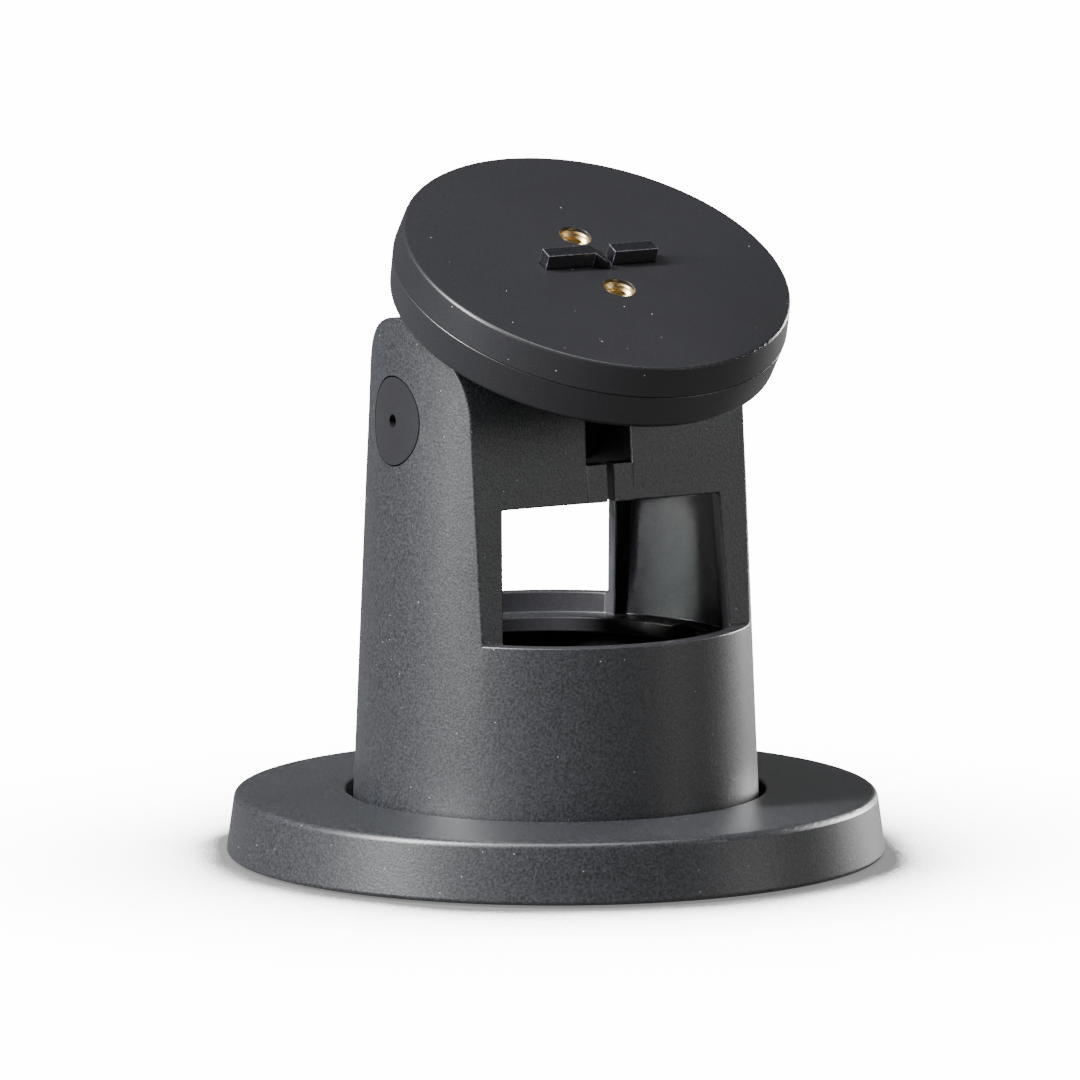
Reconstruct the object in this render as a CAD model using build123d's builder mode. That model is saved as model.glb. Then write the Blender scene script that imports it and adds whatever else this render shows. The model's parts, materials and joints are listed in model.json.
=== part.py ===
from build123d import *
import os
from math import cos, radians, sin, tan

# A compact tilt-and-swivel pedestal stand, in millimetres. A weighted round base carries a
# tapered column that turns on a hub, and a round mounting head that tilts on a cross shaft in
# the column's rounded top. The origin is the centre of the foot on the table, +Z is up, and
# -Y is the front. The tilt axis runs along X.

# ---- Driving dimensions ----------------------------------------------------------------------

# Base
base_radius = 65.0
base_draft = 7.8
base_edge_height = 12.57
base_edge_round = 1.4
base_crown_height = 13.1
rim_lift = 0.5
rim_corner = 0.8
cover_wall = 2.2
groove_radius = 41.46
groove_floor = 9.4
cover_lip_radius = 36.0
foot_thickness = 1.6
foot_outer_radius = 60.0
foot_inner_radius = 24.0
plate_radius = 61.3
plate_thickness = 5.0
cable_bore_radius = 19.0

# Swivel
hub_flange_radius = 35.5
hub_flange_thickness = 3.6
hub_post_radius = 24.0
hub_top = 28.0
thrust_thickness = 0.8
thrust_outer_radius = 29.6
collar_top = 23.0
bush_radius = 25.6
bush_running_gap = 0.08
collar_radius = 28.6
swivel_washer_thickness = 0.8
swivel_spring_height = 1.2
ring_thickness = 1.2
ring_outer_radius = 27.8
ring_gap = 9.0
stop_pin_radius = 1.5
stop_circle_radius = 32.5
stop_slot_width = 3.6
stop_half_travel = 160.0

# Column
column_bottom = 10.3
column_foot_radius = 40.01
column_draft = 2.35
column_wall = 3.3
ledge_height = 46.7
face_lean = 4.94
face_wall = 3.0
deck_top = 42.5
deck_thickness = 3.0
deck_hole_radius = 29.5
deck_notch_width = 9.0
floor_bottom = 11.0
floor_thickness = 3.5
window_top = 72.6
window_bottom_half_width = 25.5
window_top_half_width = 24.4
slot_width = 1.7
notch_half_width = 5.0
notch_bottom = 80.0
band_height = 0.2

# Tilt pivot
pivot_height = 88.5
barrel_radius = 20.2
tilt_angle = 25.59
cheek_thickness = 3.2
sleeve_radius = 10.0
sleeve_bore_radius = 7.6
sleeve_seat = 12.0
shaft_radius = 4.0
shaft_half_length = 11.5
cap_radius = 8.6
cap_groove = 0.3
cap_seat = 33.2
key_hole_radius = 1.3
disc_thickness = 0.6

# Head
head_offset = -1.24
head_underside = 20.6
head_floor = 2.2
head_seam = 28.5
head_top = 34.77
head_seam_radius = 39.5
shell_draft = 7.4
plate_draft = 6.6
top_edge_round = 0.7
top_wall = 3.0
insert_spacing = 19.05
insert_radius = 4.2
insert_bore_radius = 2.6
insert_cover = 0.8
insert_length = 8.0
fin_half_thickness = 4.3
fin_half_width = 10.6
fin_running_gap = 0.06
flange_thickness = 3.0
bar_half_length = 12.35
bar_width = 3.0
bar_height = 3.0
bar_sink = 0.5
bar_left_end = -1.8
bar_right_end = 2.6
bar_toe_end = 1.3
bar_toe_height = 1.35
bar_toe_reach = 1.3
bar_sweep_radius = 4.0
bar_peg_radius = 1.0
bar_peg_depth = 1.6

# ---- Worked-out heights, radii and frames ----------------------------------------------------

plate_top = foot_thickness + plate_thickness
hub_flange_top = plate_top + hub_flange_thickness
floor_top = floor_bottom + floor_thickness
deck_bottom = deck_top - deck_thickness
ring_bottom = collar_top + swivel_washer_thickness + swivel_spring_height
ring_seat_radius = hub_post_radius - 1.0
barrel_top = pivot_height + barrel_radius
flange_bottom = head_underside + head_floor + 0.1
flange_top = flange_bottom + flange_thickness
ceiling = head_top - top_wall

tilt = radians(tilt_angle)
head_normal = (0, -sin(tilt), cos(tilt))
head_rear = (0, cos(tilt), sin(tilt))
pivot_frame = Plane(origin=(0, 0, pivot_height), x_dir=(1, 0, 0), z_dir=head_normal)
disc_centre = (0, head_offset * head_rear[1], pivot_height + head_offset * head_rear[2])
disc_frame = Plane(origin=disc_centre, x_dir=(1, 0, 0), z_dir=head_normal)
disc_profile = Plane(origin=disc_centre, x_dir=(1, 0, 0), z_dir=(0, -head_rear[1], -head_rear[2]))
disc_axis = Axis(disc_centre, head_normal)
pivot_axis = Axis((0, 0, pivot_height), (1, 0, 0))
pivot_profile = Plane(origin=(0, 0, pivot_height), x_dir=(1, 0, 0), z_dir=(0, -1, 0))


def column_radius(height):
    """Outer radius of the tapered column at a height."""
    return column_foot_radius - (height - column_bottom) * tan(radians(column_draft))


def slab_half_depth(radius, height):
    """Half depth of the leaning slab whose faces are tangent to a barrel of that radius."""
    rise = (pivot_height - height) * sin(radians(face_lean))
    return (radius + rise) / cos(radians(face_lean))


def slab_outline(radius, foot):
    """Side view of the column's upper slab: leaning faces running into a rounded top."""
    depth = slab_half_depth(radius, foot)
    tangent_y = radius * cos(radians(face_lean))
    tangent_z = pivot_height + radius * sin(radians(face_lean))
    with BuildSketch(mode=Mode.PRIVATE) as outline:
        with BuildLine():
            Polyline((-tangent_y, tangent_z), (-depth, foot), (depth, foot), (tangent_y, tangent_z))
            ThreePointArc(
                (tangent_y, tangent_z), (0, pivot_height + radius), (-tangent_y, tangent_z)
            )
        make_face()
    return outline.sketch


def bar_outline(grow):
    """Plan of the locating bar: a straight strip with a toe that sweeps out to the front."""
    half_width = bar_width / 2
    with BuildSketch(mode=Mode.PRIVATE) as outline:
        Rectangle(2 * (bar_half_length + grow), bar_width + 2 * grow)
        with BuildLine():
            toe_tip = (bar_toe_end, -half_width - bar_toe_reach)
            sweep_start = (bar_left_end, -half_width)
            RadiusArc(sweep_start, toe_tip, -bar_sweep_radius)
            Polyline(toe_tip, (bar_toe_end, 0), (bar_left_end, 0), sweep_start)
        make_face()
        if grow > 0:
            with Locations((bar_toe_end + grow / 2, -(half_width + bar_toe_reach + grow) / 2)):
                Rectangle(3 * grow, half_width + bar_toe_reach + grow)
    return outline.sketch


def countersunk_screw(shank_radius, head_radius, length, drive_width):
    """A countersunk screw along +Z with its flat head face on Z = 0 and a hex socket."""
    with BuildPart() as screw:
        with BuildSketch(Plane.XZ):
            with BuildLine():
                Polyline(
                    (0, 0),
                    (head_radius, 0),
                    (shank_radius, head_radius - shank_radius),
                    (shank_radius, length),
                    (0, length),
                    close=True,
                )
            make_face()
        revolve(axis=Axis.Z)
        with BuildSketch(Plane.XY):
            RegularPolygon(drive_width / 2, 6, major_radius=False)
        extrude(amount=drive_width / 2, mode=Mode.SUBTRACT)
    return screw.part


def headed_screw(shank_radius, head_radius, head_height, length, drive_width):
    """A low-headed screw along -Z with the underside of its head on Z = 0 and a hex socket."""
    with BuildPart() as screw:
        with BuildSketch(Plane.XY):
            Circle(head_radius)
        extrude(amount=head_height)
        fillet(screw.edges().group_by(Axis.Z)[-1], head_height * 0.4)
        with BuildSketch(Plane.XY):
            Circle(shank_radius)
        extrude(amount=-length)
        with BuildSketch(Plane.XY.offset(head_height)):
            RegularPolygon(drive_width / 2, 6, major_radius=False)
        extrude(amount=-head_height * 0.6, mode=Mode.SUBTRACT)
    return screw.part


os.makedirs("parts", exist_ok=True)

# ---- Base ------------------------------------------------------------------------------------

# Soft ring glued under the plate, the only piece that touches the table.
with BuildPart() as foot_pad:
    with BuildSketch():
        Circle(foot_outer_radius)
        Circle(foot_inner_radius, mode=Mode.SUBTRACT)
    extrude(amount=foot_thickness)
    chamfer(foot_pad.edges().group_by(Axis.Z)[0], 0.4)
foot_pad.part.label = "foot_pad"
export_step(foot_pad.part, "parts/foot_pad.step")

# Steel ballast plate with a cable hole in the middle and countersunk holes from below.
cover_screw_circle = 52.0
cover_screw_shank = 1.5
cover_screw_head = 2.9
hub_screw_circle = 30.0
hub_screw_shank = 2.0
hub_screw_head = 3.8
screw_play = 0.1
plate_underside = Plane(origin=(0, 0, foot_thickness), z_dir=(0, 0, -1))
with BuildPart() as base_plate:
    with BuildSketch(Plane.XY.offset(foot_thickness)):
        Circle(plate_radius)
        Circle(cable_bore_radius, mode=Mode.SUBTRACT)
    extrude(amount=plate_thickness)
    with Locations(plate_underside):
        with PolarLocations(cover_screw_circle, 4):
            CounterSinkHole(
                cover_screw_shank + screw_play,
                cover_screw_head + screw_play,
                depth=plate_thickness,
                counter_sink_angle=90,
            )
        with PolarLocations(hub_screw_circle, 4, start_angle=45):
            CounterSinkHole(
                hub_screw_shank + screw_play,
                hub_screw_head + screw_play,
                depth=plate_thickness,
                counter_sink_angle=90,
            )
base_plate.part.label = "base_plate"
export_step(base_plate.part, "parts/base_plate.step")

# Moulded cover: drafted side, rounded edge, nearly flat crown, and the groove that the column
# turns in. Four bosses take the cover screws.
side_shift = (base_edge_height - rim_lift) * tan(radians(base_draft))
base_edge_radius = base_radius - side_shift
with BuildPart() as base_cover:
    with BuildSketch(Plane.XZ) as cover_profile:
        with BuildLine():
            Polyline(
                (base_radius, rim_lift),
                (base_edge_radius, base_edge_height),
                (groove_radius, base_crown_height),
                (groove_radius, groove_floor),
                (cover_lip_radius, groove_floor),
                (cover_lip_radius, plate_top),
                (cover_lip_radius + cover_wall, plate_top),
                (cover_lip_radius + cover_wall, groove_floor - cover_wall),
                (groove_radius + cover_wall, groove_floor - cover_wall),
                (groove_radius + cover_wall, base_crown_height - cover_wall),
                (base_edge_radius - cover_wall, base_edge_height - cover_wall),
                (base_radius - cover_wall, rim_lift),
                close=True,
            )
        make_face()
        outer_corner = cover_profile.vertices().sort_by_distance((base_edge_radius, base_edge_height))[0]
        fillet(outer_corner, base_edge_round)
        rim_vertex = cover_profile.vertices().sort_by_distance((base_radius, rim_lift))[0]
        fillet(rim_vertex, rim_corner)
        groove_vertex = cover_profile.vertices().sort_by_distance((groove_radius, base_crown_height))[0]
        fillet(groove_vertex, 0.4)
    revolve(axis=Axis.Z)
    with BuildSketch(Plane.XY.offset(plate_top)):
        with PolarLocations(cover_screw_circle, 4):
            Circle(3.6)
    extrude(amount=base_edge_height - cover_wall / 2 - plate_top)
    with BuildSketch(Plane.XY.offset(plate_top)):
        with PolarLocations(cover_screw_circle, 4):
            Circle(cover_screw_shank + 0.05)
    extrude(amount=4.0, mode=Mode.SUBTRACT)
base_cover.part.label = "base_cover"
export_step(base_cover.part, "parts/base_cover.step")

# Four countersunk screws that pull the cover down on the plate.
with BuildPart() as cover_screws:
    with Locations(Plane.XY.offset(foot_thickness)):
        with PolarLocations(cover_screw_circle, 4):
            add(countersunk_screw(cover_screw_shank, cover_screw_head, plate_thickness + 3.6, 2.0))
cover_screws.part.label = "cover_screws"
export_step(cover_screws.part, "parts/cover_screws.step")

# Hub: a flange screwed to the plate and a hollow post that the column turns on.
with BuildPart() as swivel_hub:
    with BuildSketch(Plane.XZ):
        with BuildLine():
            Polyline(
                (cable_bore_radius, plate_top),
                (hub_flange_radius, plate_top),
                (hub_flange_radius, hub_flange_top),
                (hub_post_radius, hub_flange_top),
                (hub_post_radius, ring_bottom),
                (ring_seat_radius, ring_bottom),
                (ring_seat_radius, ring_bottom + ring_thickness),
                (hub_post_radius, ring_bottom + ring_thickness),
                (hub_post_radius, hub_top),
                (cable_bore_radius, hub_top),
                close=True,
            )
        make_face()
    revolve(axis=Axis.Z)
    chamfer(swivel_hub.edges().group_by(Axis.Z)[-1], 0.5)
    with BuildSketch(Plane.XY.offset(plate_top)):
        with PolarLocations(hub_screw_circle, 4, start_angle=45):
            Circle(hub_screw_shank + 0.05)
        with Locations((-stop_circle_radius, 0)):
            Circle(stop_pin_radius)
    extrude(amount=hub_flange_thickness - 0.4, mode=Mode.SUBTRACT)
    with BuildSketch(Plane.XY.offset(plate_top)):
        with Locations((-stop_circle_radius, 0)):
            Circle(stop_pin_radius)
    extrude(amount=hub_flange_thickness, mode=Mode.SUBTRACT)
swivel_hub.part.label = "swivel_hub"
export_step(swivel_hub.part, "parts/swivel_hub.step")

# Four countersunk screws from the plate's underside into the hub flange.
with BuildPart() as hub_screws:
    with Locations(Plane.XY.offset(foot_thickness)):
        with PolarLocations(hub_screw_circle, 4, start_angle=45):
            add(countersunk_screw(hub_screw_shank, hub_screw_head, plate_thickness + 3.0, 2.5))
hub_screws.part.label = "hub_screws"
export_step(hub_screws.part, "parts/hub_screws.step")

# Dowel pressed into the flange that ends the column's turn.
stop_pin_top = 13.2
with BuildPart() as stop_pin:
    with BuildSketch(Plane.XY.offset(plate_top)):
        with Locations((-stop_circle_radius, 0)):
            Circle(stop_pin_radius)
    extrude(amount=stop_pin_top - plate_top)
    chamfer(stop_pin.edges().group_by(Axis.Z)[-1], 0.3)
stop_pin.part.label = "stop_pin"
export_step(stop_pin.part, "parts/stop_pin.step")

# Slippery ring that the column's floor rests on.
with BuildPart() as thrust_ring:
    with BuildSketch(Plane.XY.offset(hub_flange_top)):
        Circle(thrust_outer_radius)
        Circle(hub_post_radius + 0.6, mode=Mode.SUBTRACT)
    extrude(amount=thrust_thickness)
thrust_ring.part.label = "thrust_ring"
export_step(thrust_ring.part, "parts/thrust_ring.step")

# Coned spring washer that presses the column down and gives the swivel its drag.
swivel_spring_sheet = 0.5
spring_inner = hub_post_radius + 0.5
spring_outer = ring_outer_radius + 0.4
spring_foot = ring_bottom - swivel_spring_height
with BuildPart() as swivel_spring:
    with BuildSketch(Plane.XZ):
        with BuildLine():
            Polyline(
                (spring_outer, spring_foot),
                (spring_outer, spring_foot + swivel_spring_sheet),
                (spring_inner, ring_bottom),
                (spring_inner, ring_bottom - swivel_spring_sheet),
                close=True,
            )
        make_face()
    revolve(axis=Axis.Z)
swivel_spring.part.label = "swivel_spring"
export_step(swivel_spring.part, "parts/swivel_spring.step")

# Retaining ring in the post's groove, open on one side, with two plier lugs.
lug_angle = 16.0
lug_place = Vector(ring_outer_radius - 0.8, 0).rotate(Axis.Z, lug_angle)
with BuildPart() as retaining_ring:
    with BuildSketch(Plane.XY.offset(ring_bottom)):
        Circle(ring_outer_radius)
        Circle(ring_seat_radius, mode=Mode.SUBTRACT)
        with Locations((ring_outer_radius, 0)):
            Rectangle(12.0, ring_gap, mode=Mode.SUBTRACT)
        with Locations((lug_place.X, lug_place.Y), (lug_place.X, -lug_place.Y)):
            Circle(2.2)
            Circle(0.8, mode=Mode.SUBTRACT)
        Circle(ring_seat_radius, mode=Mode.SUBTRACT)
    extrude(amount=ring_thickness)
retaining_ring.part.label = "retaining_ring"
export_step(retaining_ring.part, "parts/retaining_ring.step")

# ---- Column ----------------------------------------------------------------------------------

# The full tapered body, before the slab, windows and chambers are cut.
with BuildPart() as column_envelope:
    with BuildSketch(Plane.XY.offset(column_bottom)):
        Circle(column_foot_radius)
    extrude(amount=barrel_top + 5.0 - column_bottom, taper=column_draft)

# The hollow inside: swivel housing, lower chamber, deck hole and upper chamber.
with BuildPart() as column_core:
    with BuildSketch(Plane.XY.offset(deck_top)):
        Circle(column_radius(deck_top) - column_wall)
    extrude(amount=barrel_top - deck_top, taper=column_draft)
    with BuildSketch(Plane.YZ):
        add(slab_outline(barrel_radius - face_wall, deck_top))
    extrude(amount=column_foot_radius, both=True, mode=Mode.INTERSECT)
    # Below the windows the chamber reaches out to the round wall, so only a rim is left there.
    with BuildSketch(Plane.XY.offset(deck_top)):
        Circle(column_radius(deck_top) - column_wall)
        Rectangle(2 * window_bottom_half_width, 3 * column_foot_radius, mode=Mode.INTERSECT)
    extrude(amount=ledge_height - deck_top)
    with BuildSketch(Plane.XZ):
        with BuildLine():
            Polyline(
                (0, column_bottom),
                (column_radius(floor_bottom) - column_wall, column_bottom),
                (column_radius(floor_bottom) - column_wall, floor_bottom),
                (bush_radius, floor_bottom),
                (bush_radius, collar_top),
                (collar_radius, collar_top),
                (collar_radius, floor_top),
                (column_radius(floor_top) - column_wall, floor_top),
                (column_radius(deck_bottom) - column_wall, deck_bottom),
                (deck_hole_radius, deck_bottom),
                (deck_hole_radius, deck_top),
                (0, deck_top),
                close=True,
            )
        make_face()
    revolve(axis=Axis.Z)

# The column moulding: round foot, flat leaning faces above the ledge, rounded top.
rib_count = 6
rib_height = 7.0
rib_thickness = 1.8
rib_middle = (collar_radius + column_radius(floor_top) - column_wall) / 2
rib_length = column_radius(floor_top) - column_wall - collar_radius + 0.6
with BuildPart() as column:
    add(column_envelope.part)
    with BuildSketch(Plane.YZ):
        add(slab_outline(barrel_radius, ledge_height))
        with Locations((0, (column_bottom + ledge_height) / 2)):
            Rectangle(3 * column_foot_radius, ledge_height - column_bottom)
    extrude(amount=column_foot_radius + 1, both=True, mode=Mode.INTERSECT)
    add(column_core.part, mode=Mode.SUBTRACT)
    with BuildSketch(Plane.XY.offset(floor_top)):
        with PolarLocations(rib_middle, rib_count, start_angle=30):
            Rectangle(rib_length, rib_thickness)
    extrude(amount=rib_height)
    # Blind curved slot under the floor for the stop pin.
    stop_arc = CenterArc(
        (0, 0), stop_circle_radius, 180 - stop_half_travel, 2 * stop_half_travel, mode=Mode.PRIVATE
    )
    with BuildSketch(Plane.XY.offset(floor_bottom)):
        SlotArc(stop_arc, stop_slot_width)
    extrude(amount=stop_pin_top + 0.4 - floor_bottom, mode=Mode.SUBTRACT)
    # Notch in the rim of the deck.
    with BuildSketch(Plane.XY.offset(deck_bottom)):
        with Locations((deck_hole_radius, 0)):
            Rectangle(6.0, deck_notch_width)
    extrude(amount=deck_thickness, mode=Mode.SUBTRACT)
    # Cheeks either side of the notch, and the sleeves that carry the tilt shaft.
    for side in (1, -1):
        with BuildSketch(Plane.YZ.offset(side * notch_half_width)):
            add(slab_outline(barrel_radius - face_wall + 0.5, notch_bottom - 4.0))
        extrude(amount=side * cheek_thickness)
        with BuildSketch(Plane.YZ.offset(side * notch_half_width)):
            with Locations((0, pivot_height)):
                Circle(sleeve_radius)
        extrude(amount=side * (cap_seat + 1.0 - notch_half_width))
    # Proud band between the window and the notch, front and back.
    with BuildSketch(Plane.YZ):
        for side in (1, -1):
            with BuildLine():
                Polyline(
                    (side * (slab_half_depth(barrel_radius, window_top) + band_height), window_top),
                    (side * (slab_half_depth(barrel_radius, notch_bottom) + band_height), notch_bottom),
                    (side * (barrel_radius - face_wall + 0.5), notch_bottom),
                    (side * (barrel_radius - face_wall + 0.5), window_top),
                    close=True,
                )
            make_face()
    extrude(amount=notch_half_width, both=True)
    # Windows, centre slots and the notch that the head's fin swings in.
    with BuildSketch(Plane.XZ):
        with BuildLine():
            Polyline(
                (-window_bottom_half_width, ledge_height),
                (window_bottom_half_width, ledge_height),
                (window_top_half_width, window_top),
                (-window_top_half_width, window_top),
                close=True,
            )
        make_face()
        with Locations((0, (window_top + notch_bottom) / 2)):
            Rectangle(slot_width, notch_bottom - window_top + 1.0)
        with Locations((0, (notch_bottom + barrel_top + 1.0) / 2)):
            Rectangle(2 * notch_half_width, barrel_top + 1.0 - notch_bottom)
    extrude(amount=column_foot_radius, both=True, mode=Mode.SUBTRACT)
    # Shaft hole, sleeve bores and cap recesses along the tilt axis.
    with BuildSketch(Plane.YZ):
        with Locations((0, pivot_height)):
            Circle(shaft_radius + 0.02)
    extrude(amount=sleeve_seat + 1.0, both=True, mode=Mode.SUBTRACT)
    for side in (1, -1):
        with BuildSketch(Plane.YZ.offset(side * sleeve_seat)):
            with Locations((0, pivot_height)):
                Circle(sleeve_bore_radius)
        extrude(amount=side * 30.0, mode=Mode.SUBTRACT)
        with BuildSketch(Plane.YZ.offset(side * cap_seat)):
            with Locations((0, pivot_height)):
                Circle(cap_radius + cap_groove)
        extrude(amount=side * 10.0, mode=Mode.SUBTRACT)
column.part.label = "column"
export_step(column.part, "parts/column.step")

# Plain bearing bush pressed into the column's collar.
with BuildPart() as swivel_bush:
    with BuildSketch(Plane.XY.offset(floor_bottom)):
        Circle(bush_radius)
        Circle(hub_post_radius + bush_running_gap, mode=Mode.SUBTRACT)
    extrude(amount=collar_top - floor_bottom)
swivel_bush.part.label = "swivel_bush"
export_step(swivel_bush.part, "parts/swivel_bush.step")

# Washer between the collar and the coned spring.
with BuildPart() as swivel_washer:
    with BuildSketch(Plane.XY.offset(collar_top)):
        Circle(spring_outer)
        Circle(hub_post_radius + 0.4, mode=Mode.SUBTRACT)
    extrude(amount=swivel_washer_thickness)
swivel_washer.part.label = "swivel_washer"
export_step(swivel_washer.part, "parts/swivel_washer.step")

# A cap in each ear follows the column's surface; its hole lets a hex key reach the screw.
for side, name in ((-1, "pivot_cap_left"), (1, "pivot_cap_right")):
    with BuildPart() as pivot_cap:
        with BuildSketch(Plane.YZ.offset(side * cap_seat)):
            with Locations((0, pivot_height)):
                Circle(cap_radius)
        extrude(amount=side * 8.0)
        add(column_envelope.part, mode=Mode.INTERSECT)
        with BuildSketch(Plane.YZ.offset(side * cap_seat)):
            with Locations((0, pivot_height)):
                Circle(sleeve_bore_radius - 0.05)
                Circle(sleeve_bore_radius - 1.4, mode=Mode.SUBTRACT)
        extrude(amount=side * -4.0)
        with BuildSketch(Plane.YZ.offset(side * cap_seat)):
            with Locations((0, pivot_height)):
                Circle(key_hole_radius)
        extrude(amount=side * 8.0, mode=Mode.SUBTRACT)
    pivot_cap.part.label = name
    export_step(pivot_cap.part, f"parts/{name}.step")

# Steel cross shaft, tapped at both ends.
screw_shank = 2.0
tapped_depth = 7.0
with BuildPart() as pivot_shaft:
    with BuildSketch(Plane.YZ):
        with Locations((0, pivot_height)):
            Circle(shaft_radius)
    extrude(amount=shaft_half_length, both=True)
    for side in (1, -1):
        with BuildSketch(Plane.YZ.offset(side * shaft_half_length)):
            with Locations((0, pivot_height)):
                Circle(screw_shank + 0.05)
        extrude(amount=-side * tapped_depth, mode=Mode.SUBTRACT)
pivot_shaft.part.label = "pivot_shaft"
export_step(pivot_shaft.part, "parts/pivot_shaft.step")

# Coned springs under the pivot screws squeeze the cheeks onto the fin.
cup_sheet = 0.6
cup_height = 1.5
cup_inner_radius = screw_shank + 0.3
cup_outer_radius = sleeve_bore_radius - 0.4
with BuildPart() as cup_springs:
    for side in (1, -1):
        with BuildSketch(pivot_profile):
            with BuildLine():
                Polyline(
                    (side * sleeve_seat, cup_outer_radius),
                    (side * (sleeve_seat + cup_sheet), cup_outer_radius),
                    (side * (sleeve_seat + cup_height), cup_inner_radius),
                    (side * (sleeve_seat + cup_height - cup_sheet), cup_inner_radius),
                    close=True,
                )
            make_face()
        revolve(axis=pivot_axis)
cup_springs.part.label = "cup_springs"
export_step(cup_springs.part, "parts/cup_springs.step")

# Pivot screws, one in each end of the shaft, with hex sockets facing the caps.
pivot_screw = headed_screw(screw_shank, 3.8, 2.4, 7.5, 2.5)
with BuildPart() as pivot_screws:
    for side in (1, -1):
        screw_seat = (side * (sleeve_seat + cup_height), 0, pivot_height)
        with Locations(Plane(origin=screw_seat, z_dir=(side, 0, 0))):
            add(pivot_screw)
pivot_screws.part.label = "pivot_screws"
export_step(pivot_screws.part, "parts/pivot_screws.step")

# Friction discs between the cheeks and the fin.
with BuildPart() as friction_discs:
    for side in (1, -1):
        with BuildSketch(Plane.YZ.offset(side * (notch_half_width - 0.04))):
            with Locations((0, pivot_height)):
                Circle(8.4)
                Circle(shaft_radius + 0.1, mode=Mode.SUBTRACT)
        extrude(amount=-side * disc_thickness)
friction_discs.part.label = "friction_discs"
export_step(friction_discs.part, "parts/friction_discs.step")

# ---- Head ------------------------------------------------------------------------------------

# Cast bracket: a fin on the tilt shaft and a flange inside the head.
fin_frame = Plane(origin=(0, 0, pivot_height), x_dir=head_rear, z_dir=(1, 0, 0))
flange_length = 44.0
flange_depth = 30.0
yoke_screw_x = 16.0
yoke_screw_y = 10.0
yoke_screw_shank = 1.5
yoke_screw_head = 2.9
yoke_screw_places = GridLocations(2 * yoke_screw_x, 2 * yoke_screw_y, 2, 2).local_locations
with BuildPart() as tilt_bracket:
    with BuildSketch(fin_frame):
        Circle(fin_half_width)
        with Locations((0, flange_bottom / 2)):
            Rectangle(2 * fin_half_width, flange_bottom)
    extrude(amount=fin_half_thickness, both=True)
    with BuildSketch(disc_frame.offset(flange_bottom)):
        RectangleRounded(flange_length, flange_depth, 4.0)
    extrude(amount=flange_thickness)
    with BuildSketch(fin_frame):
        Circle(shaft_radius + fin_running_gap)
    extrude(amount=fin_half_thickness, both=True, mode=Mode.SUBTRACT)
    with Locations(Plane(disc_frame.offset(flange_bottom).origin, x_dir=(1, 0, 0), z_dir=-disc_frame.z_dir)):
        with Locations(*yoke_screw_places):
            CounterSinkHole(
                yoke_screw_shank + screw_play,
                yoke_screw_head + screw_play,
                depth=flange_thickness,
                counter_sink_angle=90,
            )
tilt_bracket.part.label = "tilt_bracket"
export_step(tilt_bracket.part, "parts/tilt_bracket.step")

# Lower shell of the head: shallow dish with a slot for the fin and recessed screw holes.
shell_foot_radius = head_seam_radius - (head_seam - head_underside) * tan(radians(shell_draft))
shell_wall = 2.3
shell_inner_top = head_seam_radius - shell_wall
shell_inner_foot = shell_foot_radius - shell_wall + 0.3
head_screw_circle = 30.0
head_screw_shank = 1.5
head_screw_head = 2.8
head_screw_head_height = 1.2
seam_half_gap = 0.06
seam_chamfer = 0.1
with BuildPart() as head_shell:
    with BuildSketch(disc_profile) as shell_profile:
        with BuildLine():
            Polyline(
                (0, head_underside),
                (shell_foot_radius, head_underside),
                (head_seam_radius, head_seam - seam_half_gap),
                (shell_inner_top, head_seam - seam_half_gap),
                (shell_inner_foot, head_underside + head_floor),
                (0, head_underside + head_floor),
                close=True,
            )
        make_face()
        foot_vertex = shell_profile.vertices().sort_by_distance((shell_foot_radius, head_underside))[0]
        fillet(foot_vertex, 1.6)
        lip_vertex = shell_profile.vertices().sort_by_distance((head_seam_radius, head_seam))[0]
        chamfer(lip_vertex, seam_chamfer)
    revolve(axis=disc_axis)
    with BuildSketch(pivot_frame.offset(head_underside)):
        Rectangle(2 * fin_half_thickness + 1.0, 2 * fin_half_width + 1.0)
    extrude(amount=head_floor, mode=Mode.SUBTRACT)
    with BuildSketch(disc_frame.offset(head_underside)):
        with PolarLocations(head_screw_circle, 4, start_angle=45):
            Circle(head_screw_head + 0.3)
    extrude(amount=head_screw_head_height, mode=Mode.SUBTRACT)
    with BuildSketch(disc_frame.offset(head_underside)):
        with PolarLocations(head_screw_circle, 4, start_angle=45):
            Circle(head_screw_shank + screw_play)
    extrude(amount=head_floor, mode=Mode.SUBTRACT)
head_shell.part.label = "head_shell"
export_step(head_shell.part, "parts/head_shell.step")

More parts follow.
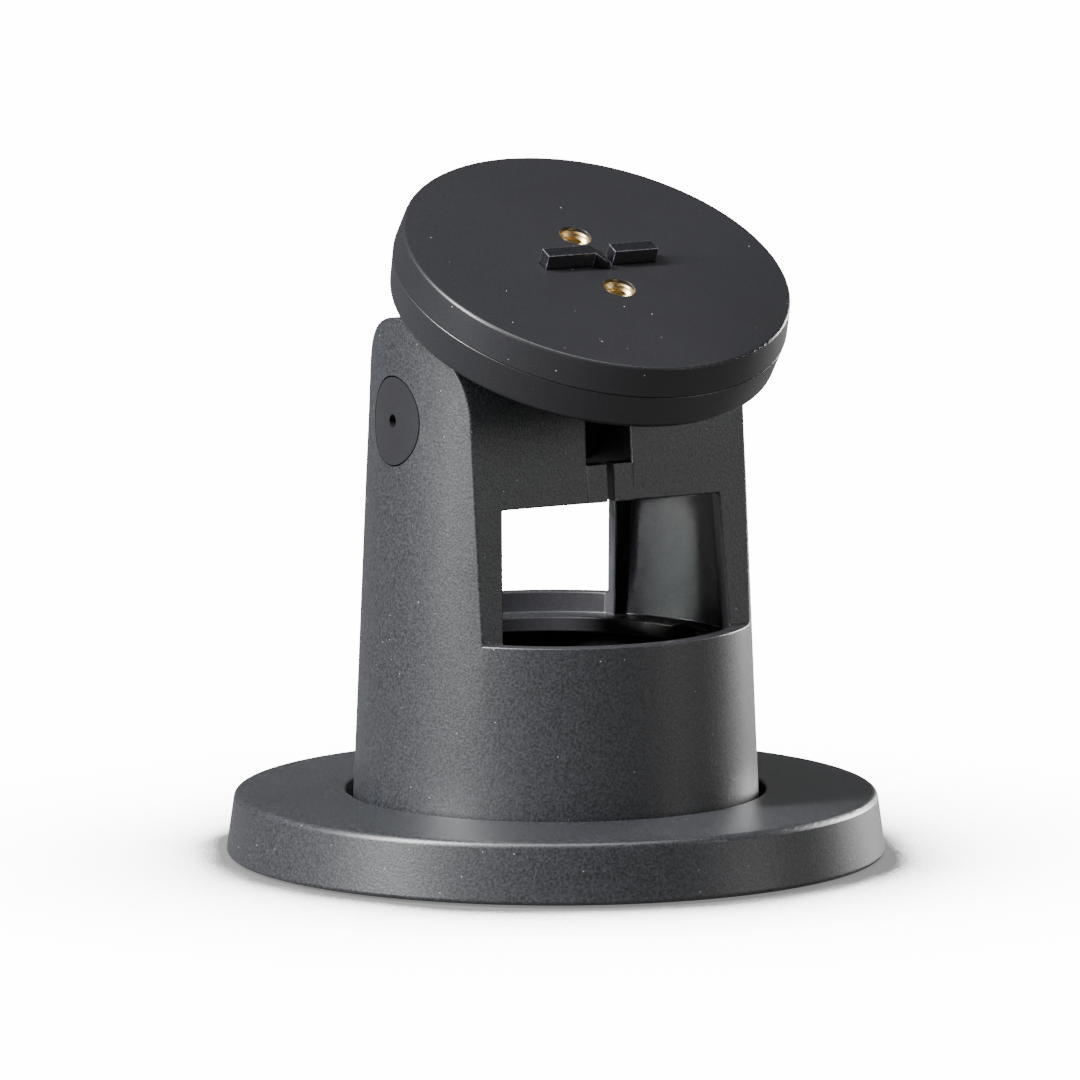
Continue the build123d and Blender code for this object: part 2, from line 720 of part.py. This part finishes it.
# Upper plate of the head: mounting face, rim and the bosses that everything screws into.
plate_edge_radius = head_seam_radius - (head_top - head_seam) * tan(radians(plate_draft))
spigot_outer = shell_inner_foot + 0.3
spigot_wall = 1.8
boss_overlap = 0.2
insert_places = [(0, -insert_spacing / 2), (0, insert_spacing / 2)]
bar_peg_places = [(-9.0, 0), (9.0, 0)]
with BuildPart() as top_plate:
    with BuildSketch(disc_profile) as plate_profile:
        with BuildLine():
            Polyline(
                (0, ceiling),
                (spigot_outer - spigot_wall, ceiling),
                (spigot_outer - spigot_wall, head_seam - 1.9),
                (spigot_outer, head_seam - 1.9),
                (spigot_outer, head_seam + seam_half_gap),
                (head_seam_radius, head_seam + seam_half_gap),
                (plate_edge_radius, head_top),
                (0, head_top),
                close=True,
            )
        make_face()
        edge_vertex = plate_profile.vertices().sort_by_distance((plate_edge_radius, head_top))[0]
        fillet(edge_vertex, top_edge_round)
        seam_vertex = plate_profile.vertices().sort_by_distance((head_seam_radius, head_seam))[0]
        chamfer(seam_vertex, seam_chamfer)
    revolve(axis=disc_axis)
    with BuildSketch(disc_frame.offset(head_underside + head_floor)):
        with PolarLocations(head_screw_circle, 4, start_angle=45):
            Circle(3.4)
    extrude(amount=ceiling + boss_overlap - head_underside - head_floor)
    with BuildSketch(disc_frame.offset(flange_top)):
        with Locations(*yoke_screw_places):
            Circle(3.2)
    extrude(amount=ceiling + boss_overlap - flange_top)
    with BuildSketch(disc_frame.offset(flange_top + 0.3)):
        with Locations(*insert_places):
            Circle(6.5)
    extrude(amount=ceiling + boss_overlap - flange_top - 0.3)
    with BuildSketch(disc_frame.offset(head_underside + head_floor)):
        with PolarLocations(head_screw_circle, 4, start_angle=45):
            Circle(head_screw_shank + 0.05)
    extrude(amount=7.0, mode=Mode.SUBTRACT)
    with BuildSketch(disc_frame.offset(flange_top)):
        with Locations(*yoke_screw_places):
            Circle(yoke_screw_shank + 0.05)
    extrude(amount=5.0, mode=Mode.SUBTRACT)
    with BuildSketch(disc_frame.offset(flange_top)):
        with Locations(*insert_places):
            Circle(insert_radius)
    extrude(amount=head_top - insert_cover - flange_top, mode=Mode.SUBTRACT)
    with BuildSketch(disc_frame.offset(head_top - insert_cover)):
        with Locations(*insert_places):
            Circle(3.2)
    extrude(amount=insert_cover, mode=Mode.SUBTRACT)
    with BuildSketch(disc_frame.offset(head_top)):
        add(bar_outline(0.1))
    extrude(amount=-bar_sink, mode=Mode.SUBTRACT)
    with BuildSketch(disc_frame.offset(head_top)):
        with Locations(*bar_peg_places):
            Circle(bar_peg_radius + 0.03)
    extrude(amount=-(bar_sink + bar_peg_depth + 0.1), mode=Mode.SUBTRACT)
top_plate.part.label = "top_plate"
export_step(top_plate.part, "parts/top_plate.step")

# Screws up through the shell floor into the top plate, low heads in their recesses.
head_screw = headed_screw(head_screw_shank, head_screw_head, 1.0, 7.0, 2.0)
with BuildPart() as head_screws:
    seat = disc_frame.offset(head_underside + head_screw_head_height)
    with Locations(Plane(seat.origin, x_dir=(1, 0, 0), z_dir=-disc_frame.z_dir)):
        with PolarLocations(head_screw_circle, 4, start_angle=45):
            add(head_screw)
head_screws.part.label = "head_screws"
export_step(head_screws.part, "parts/head_screws.step")

# Countersunk screws that hold the bracket's flange under the top plate.
bracket_screw = countersunk_screw(yoke_screw_shank, yoke_screw_head, flange_thickness + 4.6, 2.0)
with BuildPart() as bracket_screws:
    with Locations(disc_frame.offset(flange_bottom)):
        with Locations(*yoke_screw_places):
            add(bracket_screw)
bracket_screws.part.label = "bracket_screws"
export_step(bracket_screws.part, "parts/bracket_screws.step")

# Brass inserts, fitted from below so that a pull seats them harder.
insert_top = head_top - insert_cover
for side, name in ((-1, "insert_front"), (1, "insert_rear")):
    with BuildPart() as insert:
        with BuildSketch(disc_frame.offset(insert_top)):
            with Locations((0, side * insert_spacing / 2)):
                Circle(insert_radius - 0.02)
                Circle(insert_bore_radius, mode=Mode.SUBTRACT)
        extrude(amount=-insert_length)
        with BuildSketch(disc_frame.offset(insert_top - insert_length / 2 - 0.5)):
            with Locations((0, side * insert_spacing / 2)):
                Circle(insert_radius)
                Circle(insert_radius - 0.5, mode=Mode.SUBTRACT)
        extrude(amount=1.0, mode=Mode.SUBTRACT)
    insert.part.label = name
    export_step(insert.part, f"parts/{name}.step")

# Locating bar pressed into a shallow pocket of the mounting face by two pegs: two raised keys
# with a low, sloping toe between them that sweeps out to the front.
with BuildPart() as locating_bar:
    with BuildSketch(disc_frame.offset(head_top - bar_sink)):
        add(bar_outline(0))
    extrude(amount=bar_sink + bar_height)
    with BuildSketch(disc_profile):
        with BuildLine():
            Polyline(
                (bar_left_end, head_top + bar_height + 1.0),
                (bar_left_end, head_top + bar_height),
                (bar_toe_end, head_top + bar_toe_height),
                (bar_toe_end, head_top),
                (bar_right_end, head_top),
                (bar_right_end, head_top + bar_height + 1.0),
                close=True,
            )
        make_face()
    extrude(amount=2 * bar_width, both=True, mode=Mode.SUBTRACT)
    with BuildSketch(disc_frame.offset(head_top - bar_sink)):
        with Locations(*bar_peg_places):
            Circle(bar_peg_radius)
    extrude(amount=-bar_peg_depth)
locating_bar.part.label = "locating_bar"
export_step(locating_bar.part, "parts/locating_bar.step")
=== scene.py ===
import json
import math

import bmesh
import bpy
import numpy as np
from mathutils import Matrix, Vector


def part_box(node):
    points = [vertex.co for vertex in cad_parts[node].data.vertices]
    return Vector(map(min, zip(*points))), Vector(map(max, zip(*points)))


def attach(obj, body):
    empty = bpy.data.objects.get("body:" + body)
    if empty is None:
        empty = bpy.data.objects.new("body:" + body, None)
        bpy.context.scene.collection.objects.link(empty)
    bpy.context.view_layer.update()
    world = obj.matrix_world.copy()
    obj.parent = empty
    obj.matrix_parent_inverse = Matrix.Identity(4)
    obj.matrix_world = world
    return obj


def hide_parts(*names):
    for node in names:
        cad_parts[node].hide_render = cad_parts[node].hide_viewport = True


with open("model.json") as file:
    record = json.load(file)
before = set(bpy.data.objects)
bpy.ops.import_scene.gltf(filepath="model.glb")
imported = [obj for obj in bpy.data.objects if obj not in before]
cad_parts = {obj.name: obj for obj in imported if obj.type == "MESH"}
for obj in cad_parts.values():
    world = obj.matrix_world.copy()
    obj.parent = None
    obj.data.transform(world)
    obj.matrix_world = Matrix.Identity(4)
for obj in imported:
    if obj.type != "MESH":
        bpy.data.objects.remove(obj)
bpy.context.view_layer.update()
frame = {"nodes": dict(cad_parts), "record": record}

MM = 0.001

# ---- Camera ----
# A long lens stands three metres off, to the left of the front and a little above the table, and
# looks at the middle of the column.
view_azimuth = math.radians(-29.87)
view_elevation = math.radians(8.476)
view_distance = 3.0
view_target = Vector((-2.72, 1.56, 62.30)) * MM
to_camera = Vector((
    math.sin(view_azimuth) * math.cos(view_elevation),
    -math.cos(view_azimuth) * math.cos(view_elevation),
    math.sin(view_elevation),
))
lens = bpy.data.cameras.new("camera")
lens.lens = 508.8
lens.sensor_width = 36.0
lens.clip_end = 50.0
camera = bpy.data.objects.new("camera", lens)
camera.location = view_target + to_camera * view_distance
camera.rotation_euler = (-to_camera).to_track_quat("-Z", "Y").to_euler()
bpy.context.scene.collection.objects.link(camera)
bpy.context.scene.camera = camera


# ---- Floor and studio light ----
# A sheet of white paper that glows for the camera alone, so that it stays white while the light it
# sends back is dim; its glow is darkened where the stand comes near it, a painted contact shadow.
# A tall, strong soft box stands on the left, and weaker ones on the right, both behind and in
# front, and overhead.
def linear(colour):
    """Turns an sRGB hex colour into linear RGBA."""
    parts = [int(colour[i:i + 2], 16) / 255 for i in (1, 3, 5)]
    return [p / 12.92 if p <= 0.04045 else ((p + 0.055) / 1.055) ** 2.4 for p in parts] + [1.0]


def add_node(tree, kind, values={}, links={}, **properties):
    """Adds a node with its properties, its socket values, and its links as (node, output) pairs."""
    node = tree.nodes.new(kind)
    for name, value in properties.items():
        setattr(node, name, value)
    for socket, value in values.items():
        node.inputs[socket].default_value = value
    for socket, (source, output) in links.items():
        tree.links.new(source.outputs[output], node.inputs[socket])
    return node


def new_material(name):
    """A material with an empty node tree, and that tree."""
    material = bpy.data.materials.new(name)
    material.use_nodes = True
    material.node_tree.nodes.clear()
    return material, material.node_tree


def new_object(name, mesh, material):
    """Links an object for a mesh, with one material on it."""
    thing = bpy.data.objects.new(name, mesh)
    mesh.materials.clear()
    mesh.materials.append(material)
    bpy.context.scene.collection.objects.link(thing)
    return thing


floor_half = 12.0
painted_shadow_reach = 110 * MM
paper_glow = 15.0
painted_shadow_glow = 0.25
bounce_glow = 0.14
floor_mesh = bpy.data.meshes.new("floor")
corners = [(x * floor_half, y * floor_half, 0.0) for x, y in ((-1, -1), (1, -1), (1, 1), (-1, 1))]
floor_mesh.from_pydata(corners, [], [(0, 1, 2, 3)])
paper, tree = new_material("white_paper")
# Ambient occlusion dims the paper's glow near the stand: a painted contact shadow.
painted_shadow_openness = add_node(tree, "ShaderNodeAmbientOcclusion", {"Distance": painted_shadow_reach}, samples=8)
camera_glow_with_painted_shadow = add_node(tree, "ShaderNodeMapRange",
                {"From Min": 0.75, "From Max": 0.985, "To Min": painted_shadow_glow, "To Max": paper_glow},
                {"Value": (painted_shadow_openness, 1)})
path = add_node(tree, "ShaderNodeLightPath")
glow = add_node(tree, "ShaderNodeMix", {2: bounce_glow}, {0: (path, "Is Camera Ray"), 3: (camera_glow_with_painted_shadow, 0)},
                data_type="FLOAT")
surface = add_node(tree, "ShaderNodeBsdfPrincipled", {
    "Base Color": linear("#4a4a4a"), "Roughness": 0.9, "Specular IOR Level": 0.1,
    "Emission Color": linear("#ffffff")}, {"Emission Strength": (glow, 0)})
add_node(tree, "ShaderNodeOutputMaterial", links={"Surface": (surface, 0)})
floor = new_object("floor", floor_mesh, paper)

world = bpy.data.worlds.new("studio")
world.use_nodes = True
backdrop = world.node_tree.nodes["Background"]
backdrop.inputs["Color"].default_value = linear("#ffffff")
backdrop.inputs["Strength"].default_value = 0.11
bpy.context.scene.world = world

column_middle = Vector((0, 0, 60)) * MM
chamber_wall = Vector((31, 14, 60)) * MM


def soft_box(name, turn, height, distance, width, length, power, target=column_middle, spread=180):
    """An area light at an angle from the camera's direction, positive to its right, that faces a
    target and throws a beam as wide as its spread, in degrees."""
    level = Vector((to_camera.x, to_camera.y, 0)).normalized()
    across = Vector((-level.y, level.x, 0))
    direction = level * math.cos(math.radians(turn)) + across * math.sin(math.radians(turn))
    light = bpy.data.lights.new(name, "AREA")
    light.shape = "RECTANGLE"
    light.size = width
    light.size_y = length
    light.energy = power
    light.spread = math.radians(spread)
    box = bpy.data.objects.new(name, light)
    box.location = direction * distance + Vector((0, 0, height))
    box.rotation_euler = (box.location - target).to_track_quat("Z", "Y").to_euler()
    bpy.context.scene.collection.objects.link(box)


soft_box("left_box", -61, 0.85, 1.0, 0.15, 1.2, 72.0)
soft_box("right_box", 138, 0.22, 1.1, 0.30, 0.4, 14.0)
soft_box("front_box", 72, 0.35, 1.2, 0.5, 0.5, 2.5)
soft_box("top_box", 20, 1.40, 0.25, 0.8, 0.5, 9.0)
# A narrow beam through the back window that draws a soft strip on the chamber's far wall.
soft_box("window_snoot", -79, 0.12, 0.6, 0.02, 0.10, 0.008, chamber_wall, 4)


# ---- Foot ring ----
# A flat ring of black rubber glued under the base plate, the only piece that touches the table.
# It is moulded, matt and takes up dust.
def grained_plastic(name, dark, light, grain, relief, roughness, gloss,
                    speck_spacing=0.0, speck="#8a8b8e"):
    """A moulded plastic or rubber whose grain, in metres, mottles the colour and stands proud by
    relief. Pale specks lie about one spacing apart, in one cell out of three: dust on the satin
    finish, and painted glints on the grained one."""
    speck_radius = 0.16 * MM
    gloss_patch = 25 * MM
    material, tree = new_material(name)
    place = add_node(tree, "ShaderNodeTexCoord")
    pits = add_node(tree, "ShaderNodeTexNoise", {"Scale": 1 / grain, "Detail": 2.0, "Roughness": 0.6},
                    {"Vector": (place, "Object")})
    cloud = add_node(tree, "ShaderNodeTexNoise", {"Scale": 1 / gloss_patch, "Detail": 3.0},
                     {"Vector": (place, "Object")})
    contrast = add_node(tree, "ShaderNodeMapRange", {"From Min": 0.36, "From Max": 0.66},
                        {"Value": (pits, 0)})
    tone = add_node(tree, "ShaderNodeMix", {6: linear(dark), 7: linear(light)},
                    {0: (contrast, 0)}, data_type="RGBA")
    if speck_spacing:
        cells = add_node(tree, "ShaderNodeTexVoronoi", {"Scale": 1 / speck_spacing},
                         {"Vector": (place, "Object")})
        pick = add_node(tree, "ShaderNodeSeparateColor", links={"Color": (cells, "Color")})
        size = add_node(tree, "ShaderNodeMapRange", {
            "From Min": 0.7, "From Max": 1.0, "To Min": 0.0, "To Max": speck_radius / speck_spacing},
            {"Value": (pick, 0)})
        spot = add_node(tree, "ShaderNodeMath", links={0: (cells, "Distance"), 1: (size, 0)},
                        operation="LESS_THAN")
        tone = add_node(tree, "ShaderNodeMix", {7: linear(speck)}, {0: (spot, 0), 6: (tone, 2)},
                        data_type="RGBA")
    shine = add_node(tree, "ShaderNodeMapRange",
                     {"To Min": roughness - 0.06, "To Max": roughness + 0.06},
                     {"Value": (cloud, 0)})
    bump = add_node(tree, "ShaderNodeBump", {"Strength": 1.0, "Distance": relief},
                    {"Height": (pits, 0)})
    surface = add_node(tree, "ShaderNodeBsdfPrincipled", {"IOR": 1.54, "Specular IOR Level": gloss},
                       {"Base Color": (tone, 2), "Roughness": (shine, 0), "Normal": (bump, 0)})
    add_node(tree, "ShaderNodeOutputMaterial", links={"Surface": (surface, 0)})
    return material


def dress(finish, *nodes):
    """Gives CAD nodes this finish in every material slot."""
    for node in nodes:
        for slot in frame["nodes"][node].material_slots:
            slot.material = finish


# Natural rubber with carbon black, as moulded: near black and dull.
rubber = grained_plastic("black_foot_rubber", "#121213", "#1c1c1d", 0.6 * MM, 0.03 * MM, 0.75, 0.3)
dress(rubber, "foot_pad")


# ---- Base plate and its screws ----
# A steel disc that gives the stand its weight, coated black against rust. Four countersunk screws
# come up through it and pull the cover down.
def plated_metal(name, dark, light, grain, relief, roughness, metallic):
    """A metal or a metal with a thin coat, with a fine uneven surface of that grain, in metres."""
    material, tree = new_material(name)
    place = add_node(tree, "ShaderNodeTexCoord")
    bite = add_node(tree, "ShaderNodeTexNoise", {"Scale": 1 / grain, "Detail": 3.0},
                    {"Vector": (place, "Object")})
    tone = add_node(tree, "ShaderNodeMix", {6: linear(dark), 7: linear(light)},
                    {0: (bite, 0)}, data_type="RGBA")
    shine = add_node(tree, "ShaderNodeMapRange",
                     {"To Min": roughness - 0.06, "To Max": roughness + 0.08}, {"Value": (bite, 0)})
    bump = add_node(tree, "ShaderNodeBump", {"Strength": 1.0, "Distance": relief},
                    {"Height": (bite, 0)})
    surface = add_node(tree, "ShaderNodeBsdfPrincipled", {"Metallic": metallic},
                       {"Base Color": (tone, 2), "Roughness": (shine, 0), "Normal": (bump, 0)})
    add_node(tree, "ShaderNodeOutputMaterial", links={"Surface": (surface, 0)})
    return material


# Epoxy dip coat on steel: black, half matt, with a faint orange peel.
coated_steel = plated_metal("black_coated_steel", "#1b1b1c", "#262627", 0.9 * MM, 0.01 * MM, 0.45, 0.0)
# Bright zinc plate on steel screws and pins: pale and a little blue.
zinc_steel = plated_metal("zinc_plated_steel", "#b4b8bd", "#d3d6da", 0.6 * MM, 0.004 * MM, 0.36, 1.0)
dress(coated_steel, "base_plate")
dress(zinc_steel, "cover_screws")

# ---- Base cover ----
# The round cover over the ballast, with the groove that the column turns in: ABS, moulded in a
# spark-eroded tool, whose even grain breaks up the gloss and glints.

# Grained ABS: dull, with small glints from its grain and pale specks in its colour, which are
# painted glints. The real grain is about 0.15 mm; it is drawn three times as coarse, so that it
# shows.
grained_abs = grained_plastic("spark_grained_abs", "#101113", "#34363b", 0.46 * MM, 0.034 * MM,
                              0.40, 0.8, 1.6 * MM, "#a0a1a5")
dress(grained_abs, "base_cover")

# ---- Swivel ----
# A flanged zinc post screwed to the base, which the column turns on. Acetal rings and a bush keep
# metal and plastic apart, and a coned spring under a retaining ring gives the drag.

# Powder coat on a zinc casting: black and fairly matt.
cast_zinc = plated_metal("powder_coated_casting", "#161617", "#202022", 0.7 * MM, 0.02 * MM, 0.5, 0.0)
# Acetal as machined and moulded, not coloured: milky white, smooth and waxy.
acetal = grained_plastic("natural_acetal", "#dedcd2", "#e8e6de", 0.8 * MM, 0.004 * MM, 0.35, 0.5)
# Hardened and oiled spring steel: grey with a soft shine.
spring_steel = plated_metal("oiled_spring_steel", "#8b8d92", "#a9abb0", 1.0 * MM, 0.003 * MM, 0.36, 1.0)
# Black oxide on steel: near black, with a weak metal shine.
black_steel = plated_metal("black_oxide_steel", "#151515", "#222223", 0.5 * MM, 0.004 * MM, 0.4, 0.6)
dress(cast_zinc, "swivel_hub")
dress(zinc_steel, "hub_screws", "stop_pin")
dress(acetal, "thrust_ring", "swivel_bush", "swivel_washer")
dress(spring_steel, "swivel_spring")
dress(black_steel, "retaining_ring")


# ---- Column ----
# One ABS moulding that stands on the swivel and carries the tilt shaft: grained outside, with the
# small round that a mould leaves on every outer edge, and polished on the inside by its core.
def softened(node, name, body, finish, width, segments, sharp, crisp=lambda middle: False):
    """A merged copy of a CAD node whose edges sharper than an angle get a round of that width,
    apart from those whose middle is in a crisp place."""
    mesh = frame["nodes"][node].data.copy()
    mesh.name = name
    work = bmesh.new()
    work.from_mesh(mesh)
    bmesh.ops.remove_doubles(work, verts=work.verts, dist=0.002 * MM)
    bmesh.ops.dissolve_limit(work, angle_limit=math.radians(0.4), verts=work.verts, edges=work.edges)
    weights = work.edges.layers.float.new("bevel_weight_edge")
    for edge in work.edges:
        middle = (edge.verts[0].co + edge.verts[1].co) / 2
        folded = edge.is_manifold and edge.calc_face_angle() > math.radians(sharp)
        edge[weights] = 1.0 if folded and not crisp(middle) else 0.0
        edge.smooth = not (folded and crisp(middle))
    work.to_mesh(mesh)
    work.free()
    for layer in [a.name for a in mesh.attributes if a.name in ("custom_normal", "sharp_face")]:
        mesh.attributes.remove(mesh.attributes[layer])
    piece = new_object(name, mesh, finish)
    round_off = piece.modifiers.new("mould_round", "BEVEL")
    round_off.width = width
    round_off.segments = segments
    round_off.limit_method = "WEIGHT"
    round_off.use_clamp_overlap = False
    round_off.harden_normals = True
    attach(piece, body)
    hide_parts(node)
    return piece


pivot_height = 88.5 * MM
cap_edge_radius = 9.8 * MM
cap_side = 30 * MM
band_half_width = 5.2 * MM
band_low, band_high = 72.7 * MM, 80.2 * MM
column_round = 0.35 * MM


def stays_crisp(middle):
    """The low raised band between window and notch, and the cap recesses, keep sharp edges."""
    by_cap = (abs(middle.x) > cap_side
              and math.hypot(middle.y, middle.z - pivot_height) < cap_edge_radius)
    return by_cap or (abs(middle.x) < band_half_width and band_low < middle.z < band_high)


column = softened("column", "column_moulding", "column", grained_abs,
                  column_round, 2, 32, stays_crisp)

# ABS against a polished core: even, dark and smoother than the outside. Its colour is painted
# paler than the outer grain, as painted light in the dim chamber.
inner_abs_painted_paler = grained_plastic("polished_core_abs_painted_paler", "#2d2d31", "#363639", 0.5 * MM, 0.004 * MM, 0.35, 0.7)
column.data.materials.append(inner_abs_painted_paler)
column_foot_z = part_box("column")[0].z
column_foot_radius = 40.01 * MM
column_draft = math.tan(math.radians(2.35))
skin_depth = 2.0 * MM
centres = np.zeros(len(column.data.polygons) * 3)
normals = np.zeros(len(column.data.polygons) * 3)
column.data.polygons.foreach_get("center", centres)
column.data.polygons.foreach_get("normal", normals)
centres = centres.reshape(-1, 3)
normals = normals.reshape(-1, 3)
skin_radius = column_foot_radius - (centres[:, 2] - column_foot_z) * column_draft
inside = np.hypot(centres[:, 0], centres[:, 1]) < skin_radius - skin_depth
inward = centres[:, 0] * normals[:, 0] + centres[:, 1] * normals[:, 1] < 0
# Inner faces take the polished core finish, whose paler colour is painted light.
column.data.polygons.foreach_set("material_index", (inside & inward).astype(np.int32))

# ---- Tilt shaft and its caps ----
# A zinc-plated steel shaft, tapped at both ends. A screw in each end squeezes a cup spring, the
# column's cheeks and the friction discs on to the head's fin, behind a press-in satin ABS cap.

# ABS from a finely sanded tool: smoother and darker than the grained pieces, with a soft sheen
# and a few pale specks. Its grain is drawn at 0.25 mm, as fine as it can show.
satin_abs = grained_plastic("satin_moulded_abs", "#1b1b1e", "#242428", 0.25 * MM, 0.010 * MM,
                            0.36, 0.5, 2.2 * MM, "#c8c8ca")
dress(zinc_steel, "pivot_shaft")
dress(acetal, "friction_discs")
dress(spring_steel, "cup_springs")
dress(black_steel, "pivot_screws")
dress(satin_abs, "pivot_cap_left", "pivot_cap_right")

# ---- Head shell and tilt bracket ----
# A cast bracket has a fin that turns on the shaft and a flange inside the head. Four screws hold
# it, and four more hold the lower shell, a satin ABS dish, to bosses under the mounting plate.
dress(cast_zinc, "tilt_bracket")
dress(zinc_steel, "bracket_screws")
dress(satin_abs, "head_shell")
dress(black_steel, "head_screws")

# ---- Mounting plate ----
# The flat disc that a device stands on: satin ABS, moulded with bosses that everything in the
# head screws into, and with a fine break on the edges of its holes and of the key's pocket.
mounts = {mount["name"]: mount for mount in frame["record"]["mounts"]}
front_mouth = Vector(mounts["insert_thread_front"]["pos_m"])
rear_mouth = Vector(mounts["insert_thread_rear"]["pos_m"])
face_middle = (front_mouth + rear_mouth) / 2
hole_zone_radius = 16 * MM


def off_centre(middle):
    """Edges away from the holes and the key keep the round that they already have."""
    return (middle - face_middle).length > hole_zone_radius


softened("top_plate", "mounting_plate", "head", satin_abs,
         0.10 * MM, 2, 32, off_centre)

# ---- Locating bar ----
# The key between the two inserts, which stops a device from turning on its screw: one glossy ABS
# moulding pressed into the plate, whose rounded edges are painted pale as a painted highlight.

# ABS from a polished tool: near black, with sharp reflections.
gloss_abs = grained_plastic("glossy_key_abs", "#0f0f13", "#1a1a1f", 0.5 * MM, 0.003 * MM, 0.2, 0.6)
# The same plastic on the rounded edges, painted greyer as a painted highlight, and less shiny.
edge_highlight_abs = grained_plastic("key_edge_painted_highlight_abs", "#2c2c31", "#6a6a70", 0.7 * MM, 0.003 * MM, 0.36, 0.6)
bar = softened("locating_bar", "bar_moulding", "head", gloss_abs, 0.13 * MM, 2, 30)
# The edge rounds take the pale finish: a painted highlight along every edge.
bar.data.materials.append(edge_highlight_abs)
bar.modifiers["mould_round"].material = 1

# ---- Brass inserts ----
# Turned brass bushes with a 1/4-20 thread, fitted into the plate from below, so that a pull seats
# them harder. The thread is cut as a real helix, with a short chamfer at its mouth.

# Free-cutting brass as turned: yellow, bright and slightly brushed.
brass = plated_metal("machined_brass", "#d2ad68", "#f6e2b0", 0.5 * MM, 0.003 * MM, 0.36, 1.0)
threads_per_inch = 20
thread_pitch = 25.4 / threads_per_inch * MM
thread_major_radius = 3.18 * MM
insert_outer_radius = 4.1 * MM
rim_break = 0.15 * MM
mouth_chamfer = 0.3 * MM
turn_columns = 96
rows_per_turn = 10


def threaded_insert(name, node, mount):
    """A tube whose bore radius is the minor radius plus a triangle wave of depth and angle: the
    wave repeats once per pitch down the axis and once per turn, so its crest is a helix."""
    mouth = Vector(mount["pos_m"])
    axis = Vector(mount["axis"]).normalized()
    sideways = axis.orthogonal().normalized()
    around = axis.cross(sideways)
    length = mount["dims"]["length_mm"] * MM
    minor = mount["dims"]["r_mm"] * MM
    angle = np.linspace(0, 2 * np.pi, turn_columns, endpoint=False)
    bore_rows = int(length / thread_pitch * rows_per_turn)
    bore_depth = np.linspace(mouth_chamfer, length - mouth_chamfer, bore_rows)
    phase = (bore_depth[:, None] / thread_pitch + angle[None, :] / (2 * np.pi)) % 1.0
    bore_radius = minor + (thread_major_radius - minor) * (1 - np.abs(2 * phase - 1))
    ring = np.ones((1, turn_columns))
    rims = [(insert_outer_radius, length), (insert_outer_radius, rim_break),
            (insert_outer_radius - rim_break, 0.0), (thread_major_radius, 0.0)]
    radius = np.vstack([ring * r for r, _ in rims] + [bore_radius, ring * thread_major_radius])
    depth = np.vstack([ring * d for _, d in rims]
                      + [np.repeat(bore_depth[:, None], turn_columns, 1), ring * length])
    rows = len(radius)
    points = (np.array(mouth) - depth[..., None] * np.array(axis)
              + (radius * np.cos(angle))[..., None] * np.array(sideways)
              + (radius * np.sin(angle))[..., None] * np.array(around))
    row, step = np.meshgrid(np.arange(rows), np.arange(turn_columns), indexing="ij")
    below, beside = (row + 1) % rows, (step + 1) % turn_columns
    quads = np.stack([row * turn_columns + step, row * turn_columns + beside,
                      below * turn_columns + beside, below * turn_columns + step], -1)
    mesh = bpy.data.meshes.new(name)
    mesh.from_pydata(points.reshape(-1, 3).tolist(), [], quads.reshape(-1, 4).tolist())
    mesh.shade_smooth()
    mesh.set_sharp_from_angle(angle=math.radians(35))
    piece = new_object(name, mesh, brass)
    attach(piece, "head")
    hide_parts(node)


threaded_insert("front_threaded_insert", "insert_front", mounts["insert_thread_front"])
threaded_insert("rear_threaded_insert", "insert_rear", mounts["insert_thread_rear"])
